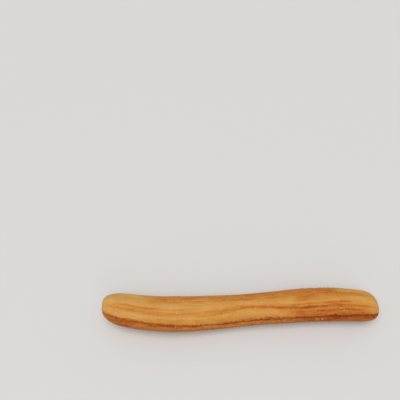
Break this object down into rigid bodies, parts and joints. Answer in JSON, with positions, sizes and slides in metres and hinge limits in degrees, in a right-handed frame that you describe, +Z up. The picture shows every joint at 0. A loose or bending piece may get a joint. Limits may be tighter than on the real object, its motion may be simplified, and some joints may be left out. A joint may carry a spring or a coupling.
{
  "type": "churro",
  "caption": "Churro: a slightly curved stick of fried dough with lengthwise ribs from a star nozzle and blunt, rounded cut ends.",
  "frame": {"origin": "under the middle of the stick, on the level that it rests on", "axes": "+X along the stick to its right end, -Y its front side, +Z up"},
  "size_m": [0.1864, 0.0308, 0.023],
  "materials": {
    "crust": "golden-brown fried crust, fine-grained, with a faint sheen of oil"
  },
  "bodies": {
    "root": {"churro": "crust"}
  },
  "joints": []
}
